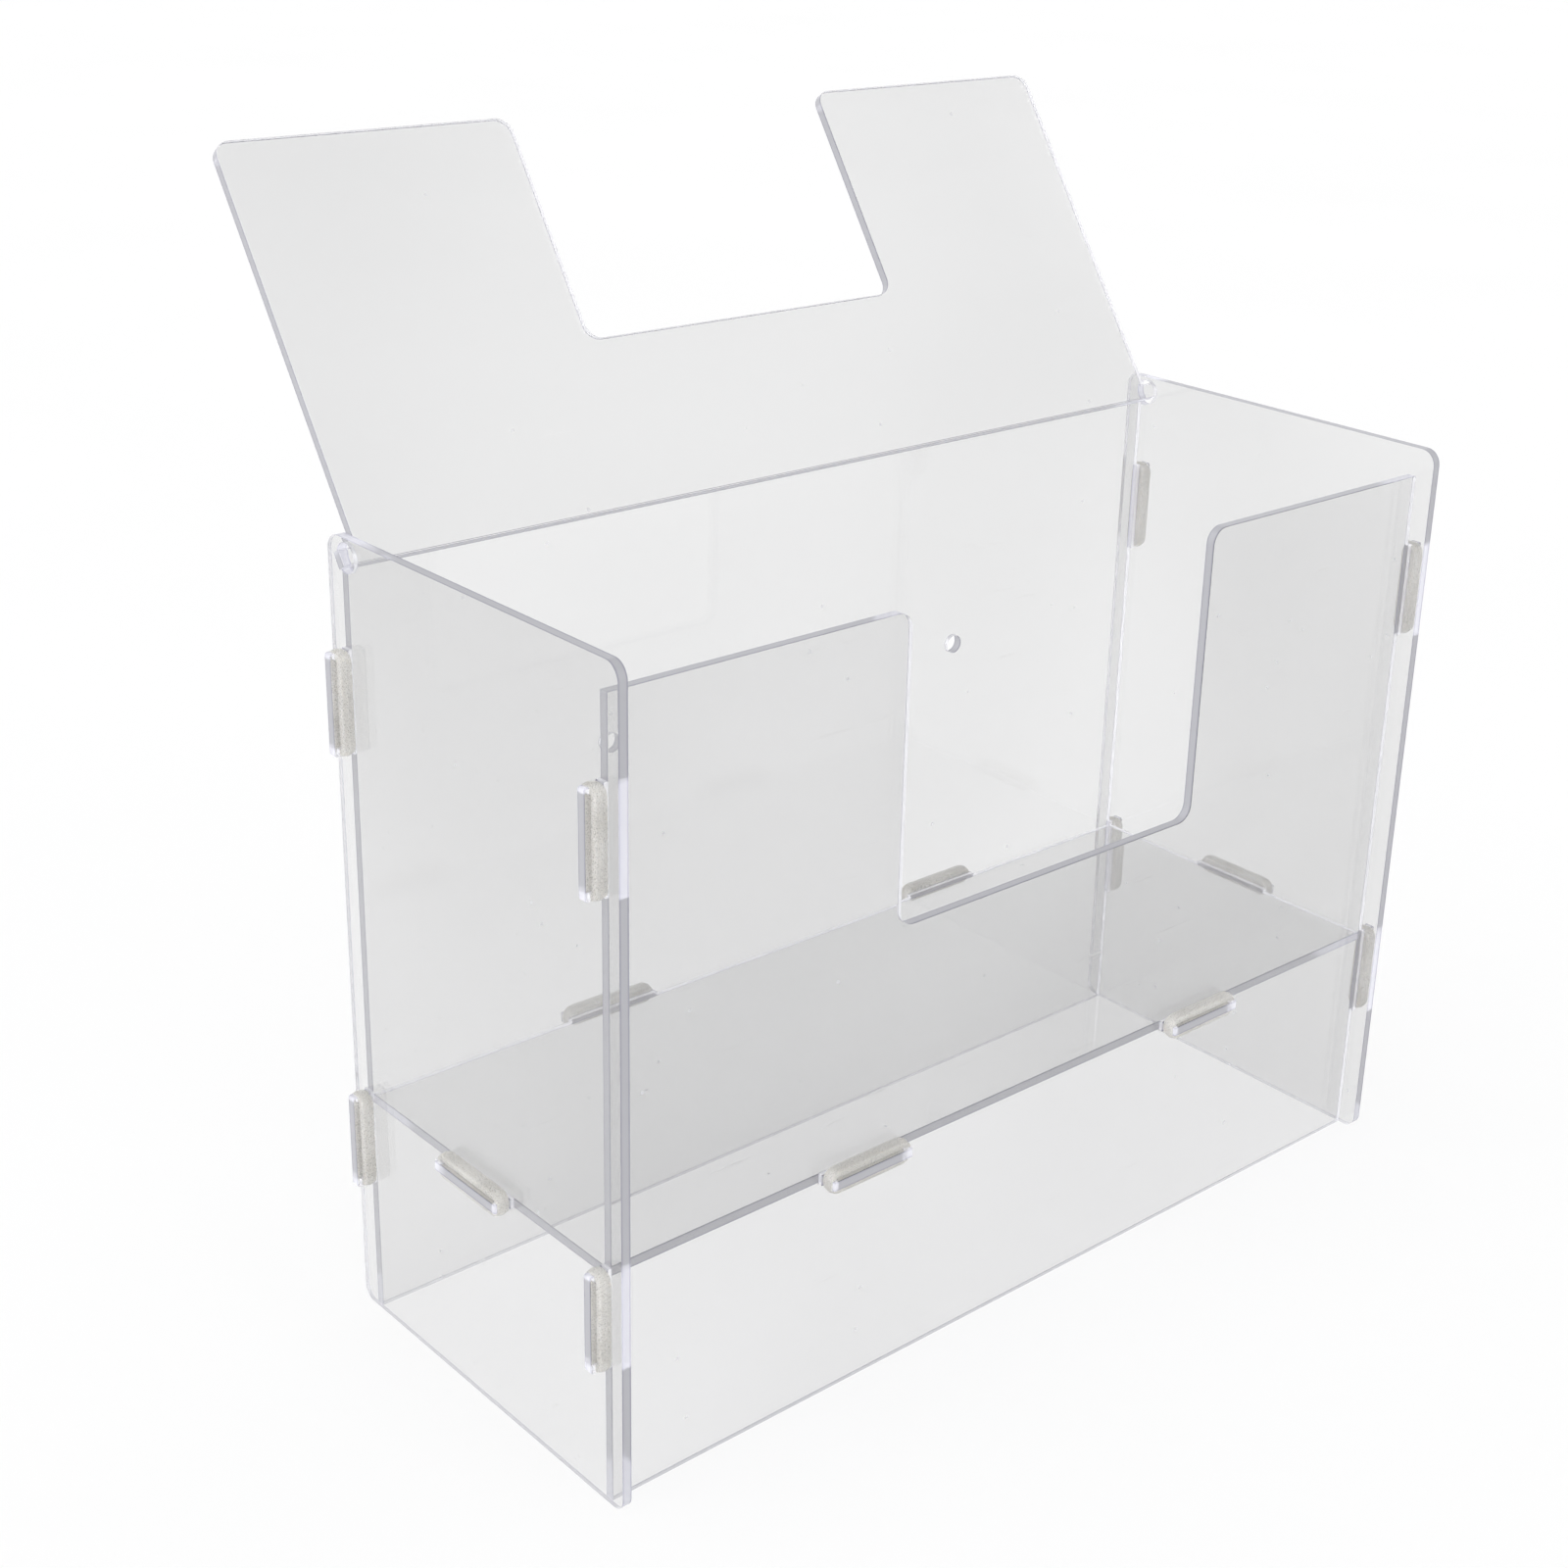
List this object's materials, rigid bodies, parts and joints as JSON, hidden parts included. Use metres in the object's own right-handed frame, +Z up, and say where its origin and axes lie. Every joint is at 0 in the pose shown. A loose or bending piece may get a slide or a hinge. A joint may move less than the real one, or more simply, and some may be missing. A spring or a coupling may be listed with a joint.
{
  "type": "donation box",
  "caption": "Clear acrylic box of tabbed sheets locked by silicone bands, with a hand opening in the front, a raised floor and a notched lid hinged at the rear.",
  "frame": {"origin": "middle of the back panel's bottom edge, halfway through its thickness, on the plane that the box stands on", "axes": "+X to the right as seen from the front, +Y to the rear, +Z up"},
  "size_m": [0.331, 0.1893, 0.3378],
  "materials": {
    "acrylic": "clear polished sheet with laser-cut edges",
    "silicone": "milky translucent moulded silicone"
  },
  "bodies": {
    "box": {"left_panel": "acrylic", "right_panel": "acrylic", "front_panel": "acrylic", "back_panel": "acrylic", "shelf": "acrylic", "band_left_front_lower": "silicone", "band_left_front_upper": "silicone", "band_left_rear_lower": "silicone", "band_left_rear_upper": "silicone", "band_right_front_lower": "silicone", "band_right_front_upper": "silicone", "band_right_rear_lower": "silicone", "band_right_rear_upper": "silicone", "band_shelf_left": "silicone", "band_shelf_right": "silicone", "band_shelf_front_left": "silicone", "band_shelf_front_right": "silicone", "band_shelf_rear_left": "silicone", "band_shelf_rear_right": "silicone"},
    "lid": {"lid": "acrylic"}
  },
  "joints": [
    {"name": "lid_hinge", "type": "hinge", "parent": "box", "child": "lid", "pos_m": [0, -0.0025, 0.2375], "axis": [1, 0, 0], "range_deg": [-77.5, 124.8]}
  ]
}
